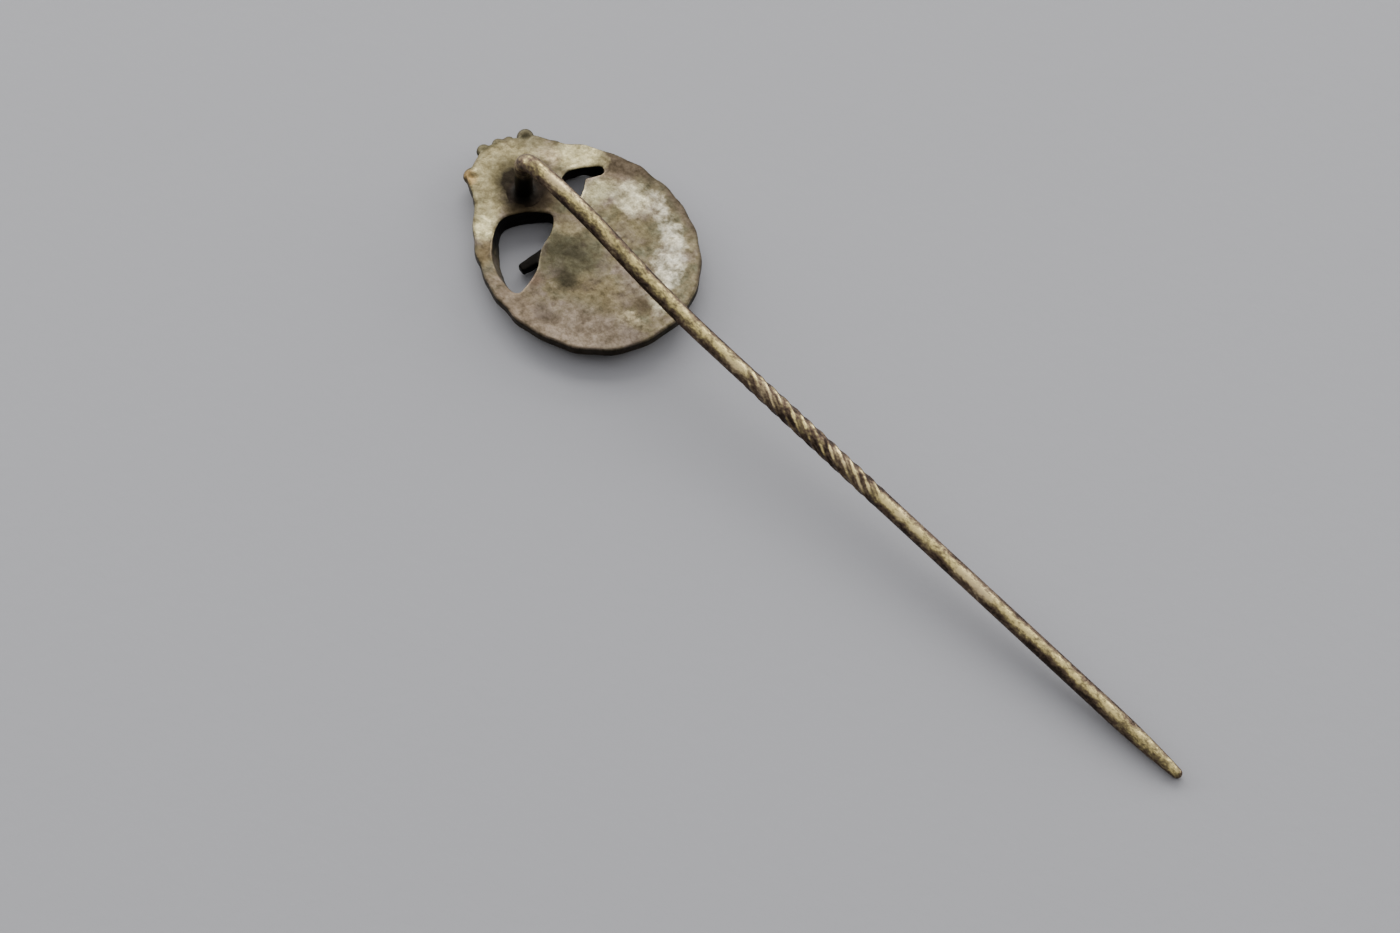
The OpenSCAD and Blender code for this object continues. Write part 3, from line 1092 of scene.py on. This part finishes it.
    def wear_and_sheen_at(self, place: Vector, normal: Vector, start: Vector) -> float:
        """Return how much wear and painted sheen the wire has at a place.

        Args:
            place: The place, in millimetres.
            normal: The surface's direction there.
            start: Where the ridged run starts.

        Returns:
            The share of wear and painted sheen, from 0 to 1.
        """
        facing = normal.dot(Vector(self.wear_and_sheen_way))
        bright = max(0.0, (facing - self.wear_and_sheen_from) / (1 - self.wear_and_sheen_from))
        worn = mix(*self.head_wear_and_sheen, bright ** 2)
        past_elbow = fade(place.x - self.leg_x, 0.8, 2.0)
        worn = mix(mix(*self.elbow_wear_and_sheen, normal.z), worn, past_elbow)
        along, angle, _ = self.around(place, start)
        if 0 < along < self.ridge_l:
            streaked = 0.08 + self.streak_at(place, along, angle) * worn
            worn = mix(worn, streaked, self.ridge_share(along))
        elif along >= self.ridge_l:
            past_shank = fade(along - self.ridge_l - self.shank_l, 0, 0.5 * self.point_l)
            worn = mix(mix(*self.shank_wear_and_sheen, bright ** 3), mix(*self.point_wear_and_sheen, bright), past_shank)
        return min(1.0, worn)

    def streak_at(self, place: Vector, along: float, angle: float) -> float:
        """Return how much of the wear shows at a place of the ridges.

        The tops shine, in streaks that come and go, and hairlines run along them.

        Args:
            place: The place, in millimetres.
            along: Its distance along the ridged run.
            angle: Its angle round the wire, in radians.

        Returns:
            The share of the wear, about 0.3 in a groove and over 1 on a bright top.
        """
        turned = self.unwound(along, angle)
        round_wire = self.radius / self.hair_w * Vector((math.cos(turned), math.sin(turned), 0.0))
        hair = noise.noise(round_wire + UP * (along / self.hair_l))
        patch = noise.noise(place / self.patch_mm)
        return 0.3 + 0.6 * hair + (0.85 + 1.1 * patch) * self.ridge_top(along, angle) ** 2

    def grime_and_shade_at(self, place: Vector) -> float:
        """Return how black the wire is: tarnish and painted shade along the leg, clean on the elbow."""
        on_leg = 1 - fade(place.z - self.leg_top, -0.5, 0.7)
        return on_leg * (1 - fade(place.x - self.leg_x, 0.6, 1.8))


@dataclass
class SolderSeat:
    """The fillet of solder that the wire's foot stands in."""

    wire_r: float = 0.53
    leg_x: float = -4.7
    back_z: float = 1.37
    fillet_r: float = 0.5
    sunk: float = 0.3
    lap: float = 0.04
    sides: int = 64
    steps: int = 10

    def build(self, finish: CastNickelSilver) -> Piece:
        """Model the fillet and dress it.

        Args:
            finish: The solder's finish.

        Returns:
            The fillet.
        """
        foot = Vector((self.leg_x, 0.0, self.back_z - self.sunk))
        outer_r = self.wire_r + self.fillet_r
        inner_r = self.wire_r - self.lap
        seat = add_ring(self.sides, outer_r, foot, "solder_seat")
        turns = (math.radians(90 * i / self.steps) for i in range(1, self.steps + 1))
        flank = [(self.sunk + self.fillet_r * (1 - math.cos(turn)),
                  inner_r + self.fillet_r * (1 - math.sin(turn))) for turn in turns]
        extrude_rings(foot, UP, [(0.0, outer_r), (self.sunk, outer_r)] + flank)
        bpy.ops.mesh.edge_face_add()
        select_where(seat, lambda co: co.z < self.back_z - 0.5 * self.sunk)
        bpy.ops.mesh.edge_face_add()
        close_mesh()
        roughen(seat, grain=0.5, height=0.06)
        write_layer(seat, Layer.GRIME, [self.grime_and_shade_at(v.co) for v in seat.data.vertices])
        settle(seat, finish.build(), smooth_angle=60)
        return seat

    def grime_and_shade_at(self, place: Vector) -> float:
        """Return how black the solder is: flux and painted shadow at the wire, brown at its edge."""
        out = math.hypot(place.x - self.leg_x, place.y) - self.wire_r
        return 1 - 0.9 * ease(out / self.fillet_r)


@dataclass(frozen=True)
class Softbox:
    """A soft lamp: turn from straight behind the pin towards the left, rise, size and power.

    Turn and rise are in degrees, the size is in metres and the power in watts.
    """

    name: str
    turn: float
    rise: float
    size: tuple[float, float]
    power: float


@dataclass
class Studio:
    """The table, the soft lamps round it, the dim room and the camera."""

    view_turn: float = 46.44
    view_rise: float = 57.0
    view_away: float = 445.0
    look_at: tuple[float, float] = (15.51, -5.07)
    lens: float = 200.25
    sensor: float = 36.0
    floor_size: float = 1600.0
    lamp_away: float = 0.9
    softboxes: Sequence[Softbox] = (
        Softbox("back_softbox", 0.0, 31.0, (1.0, 0.45), 6.8),
        Softbox("left_softbox", 55.0, 17.0, (0.9, 0.4), 5.9),
        Softbox("right_softbox", -65.0, 17.0, (0.9, 0.4), 5.0))
    room_colour: str = "#FBFBFF"
    room_front: float = 0.12
    room_back: float = 0.62

    @property
    def away(self) -> Vector:
        """The level direction from the camera into the picture."""
        turn = math.radians(self.view_turn)
        return Vector((-math.sin(turn), math.cos(turn), 0.0))

    def floor(self, finish: PaleTable) -> None:
        """Lay the table under the pin.

        Args:
            finish: The table's finish.
        """
        deselect_all()
        bpy.ops.mesh.primitive_plane_add(size=self.floor_size * MM, location=(0, 0, PART_LOW.z * MM))
        table = bpy.context.object
        table.name = "table"
        bpy.ops.object.transform_apply()
        table.data.materials.append(finish.build())

    def camera(self) -> None:
        """Set the camera at the photograph's angle and framing."""
        rise = math.radians(self.view_rise)
        target = Vector((HEAD_X + self.look_at[0], self.look_at[1], 0.0)) * MM
        back = UP * math.sin(rise) - self.away * math.cos(rise)
        data = bpy.data.cameras.new("camera")
        data.lens = self.lens
        data.sensor_width = self.sensor
        data.sensor_fit = "HORIZONTAL"
        data.clip_start = 0.01
        camera = bpy.data.objects.new("camera", data)
        bpy.context.scene.collection.objects.link(camera)
        camera.location = target + back * self.view_away * MM
        camera.rotation_euler = (-back).to_track_quat("-Z", "Y").to_euler()
        bpy.context.scene.camera = camera

    def lamp(self, softbox: Softbox) -> None:
        """Add a soft lamp that faces the pin.

        Args:
            softbox: The lamp's place, size and power.
        """
        data = bpy.data.lights.new(softbox.name, "AREA")
        data.energy = softbox.power
        data.shape = "RECTANGLE"
        data.size, data.size_y = softbox.size
        lamp = bpy.data.objects.new(softbox.name, data)
        bpy.context.scene.collection.objects.link(lamp)
        rise = math.radians(softbox.rise)
        side = Matrix.Rotation(math.radians(softbox.turn), 3, "Z") @ self.away
        direction = side * math.cos(rise) + UP * math.sin(rise)
        lamp.location = direction * self.lamp_away
        lamp.rotation_euler = (-direction).to_track_quat("-Z", "Y").to_euler()

    def light(self) -> None:
        """Light the pin by the soft lamps and by a dim room that is brighter behind it."""
        for softbox in self.softboxes:
            self.lamp(softbox)
        world = bpy.data.worlds.new("room")
        bpy.context.scene.world = world
        world.use_nodes = True
        tree = world.node_tree
        direction = add_node(tree, "TexCoord", out="Generated")
        brightest = self.away * 0.6 + UP * 0.8
        settings = {"operation": "DOT_PRODUCT", 1: brightest}
        toward = add_node(tree, "VectorMath", settings, {0: direction}, "Value")
        settings = {"From Min": -0.2, "From Max": 0.9, "To Min": self.room_front, "To Max": self.room_back}
        level = add_node(tree, "MapRange", settings, {"Value": toward})
        background = tree.nodes["Background"]
        set_up(tree, background, {"Color": linear(self.room_colour)}, {"Strength": level})


HEAD_COLOUR_PATCHES = (
    # Large soft changes of colour: cream-olive crest, pinkish lower edge, grey-green middle
    ColourPatch((-7.0, 0.2), (2.6, 4.2), 10, "#AFA47C", 0.95, 0.3),
    ColourPatch((4.6, -4.2), (4.8, 2.6), 30, "#9C8D7C", 0.9, 0.4),
    ColourPatch((0.6, -5.6), (3.8, 1.8), -12, "#91816F", 0.9, 0.4),
    ColourPatch((0.3, -0.9), (3.0, 2.6), 20, "#5C5944", 0.85, 0.4),
    ColourPatch((3.3, -1.6), (2.6, 1.7), 20, "#877A5B", 0.75, 0.5),
    ColourPatch((-1.5, 0.3), (1.2, 0.9), 30, "#928667", 0.8, 0.4),
    ColourPatch((1.0, 3.0), (2.4, 1.3), 0, "#827856", 0.6, 0.5),
    ColourPatch((4.6, 0.6), (2.0, 1.5), 0, "#8C8072", 0.7, 0.5),
    # The dark upper rim and the darker knobs
    ColourPatch((-2.2, 5.6), (3.8, 1.1), 24, "#6A5D4C", 0.95, 0.3),
    ColourPatch((2.4, 6.2), (3.8, 0.9), -18, "#6E6152", 0.85, 0.3),
    ColourPatch((5.9, 4.6), (2.4, 0.7), -50, "#786556", 0.8, 0.3),
    ColourPatch((-7.5, 2.9), (1.4, 1.3), 0, "#8C8468", 0.85, 0.3),
    ColourPatch((-1.9, 4.5), (1.5, 0.8), 10, "#94836E", 0.7),
    # Cream spots round the small window and along the left rim: painted highlights where the
    # surface turns towards the lamps
    ColourPatch((-4.4, 4.2), (2.0, 1.2), 35, "#FFF3BC", 1.0, 0.2),
    ColourPatch((-2.0, 3.1), (1.0, 1.6), 0, "#DED6AC", 1.0, 0.3),
    ColourPatch((-5.6, 3.1), (0.9, 0.8), 0, "#C2B290", 0.8, 0.3),
    ColourPatch((-5.2, -2.6), (1.0, 1.5), 30, "#B8AD84", 0.9, 0.4),
    ColourPatch((-4.4, -3.4), (0.9, 1.2), 35, "#FAF0BC", 1.0, 0.4),
    ColourPatch((-3.3, -4.5), (1.3, 0.7), -40, "#988664", 0.8, 0.5),
    ColourPatch((-7.8, -1.6), (0.9, 0.7), 0, "#E8C485", 0.85, 0.3),
    # Grainy silver where the tarnish broke away
    ColourPatch((-0.2, 4.3), (1.7, 1.2), 0, "#FFF6D2", 1.0, 0.5),
    ColourPatch((1.3, 5.1), (1.6, 0.8), -25, "#EAE3CC", 0.9, 1.1),
    ColourPatch((3.6, 4.1), (1.5, 0.9), -20, "#F0E9D0", 1.0, 0.9),
    ColourPatch((4.8, 2.6), (1.1, 1.8), 40, "#FBF5DE", 1.0, 0.8),
    ColourPatch((5.3, 1.5), (0.9, 0.8), 0, "#E6DEC4", 0.9, 1.0),
    ColourPatch((6.4, 0.2), (0.9, 0.7), 0, "#C9C3A8", 0.85, 0.9),
    ColourPatch((6.2, -1.5), (1.3, 0.6), 20, "#C8BA96", 0.8, 1.1),
    # Dark smudges; the first two, beside the wire, are partly tarnish and partly its painted shadow
    ColourPatch((1.3, -2.3), (1.1, 0.8), 30, "#3E382A", 0.8, 0.8),
    ColourPatch((0.1, -0.8), (1.6, 0.7), 20, "#444030", 0.7, 0.8),
    ColourPatch((5.7, -0.5), (0.9, 0.8), 0, "#5C503D", 0.85),
    ColourPatch((0.1, -3.5), (0.8, 0.8), 0, "#7A6450", 0.7),
    ColourPatch((2.2, -4.8), (1.3, 0.8), -12, "#6E6257", 0.7),
    # Painted shadow of the leg and the wire on the plate, with tarnish, from the wire's foot to the large
    # window
    ColourPatch((-3.9, 0.4), (1.8, 1.6), 0, "#5E4F3A", 0.9, 0.4),
    ColourPatch((-4.3, -0.6), (1.9, 1.1), 120, "#54462F", 0.9, 0.4),
    ColourPatch((-5.1, 0.3), (2.7, 2.4), 0, "#231B13", 0.97, 0.2),
)

# Soft solder, as satin as the casting and almost black: old flux, with the painted shadow of the leg
OLD_SOLDER = CastNickelSilver(name="black_solder_and_shade", base="#2A2118", warm="#30261A", cool="#241D14")


def main() -> None:
    """Build the pin and its studio in order."""
    logging.basicConfig(level=logging.INFO, format="%(message)s")
    BadgeHead().build(CastNickelSilver(colour_patches=HEAD_COLOUR_PATCHES))
    SolderSeat().build(OLD_SOLDER)
    WirePin().build(DrawnWire())
    studio = Studio()
    studio.floor(PaleTable())
    studio.camera()
    studio.light()


if __name__ == "__main__":
    main()
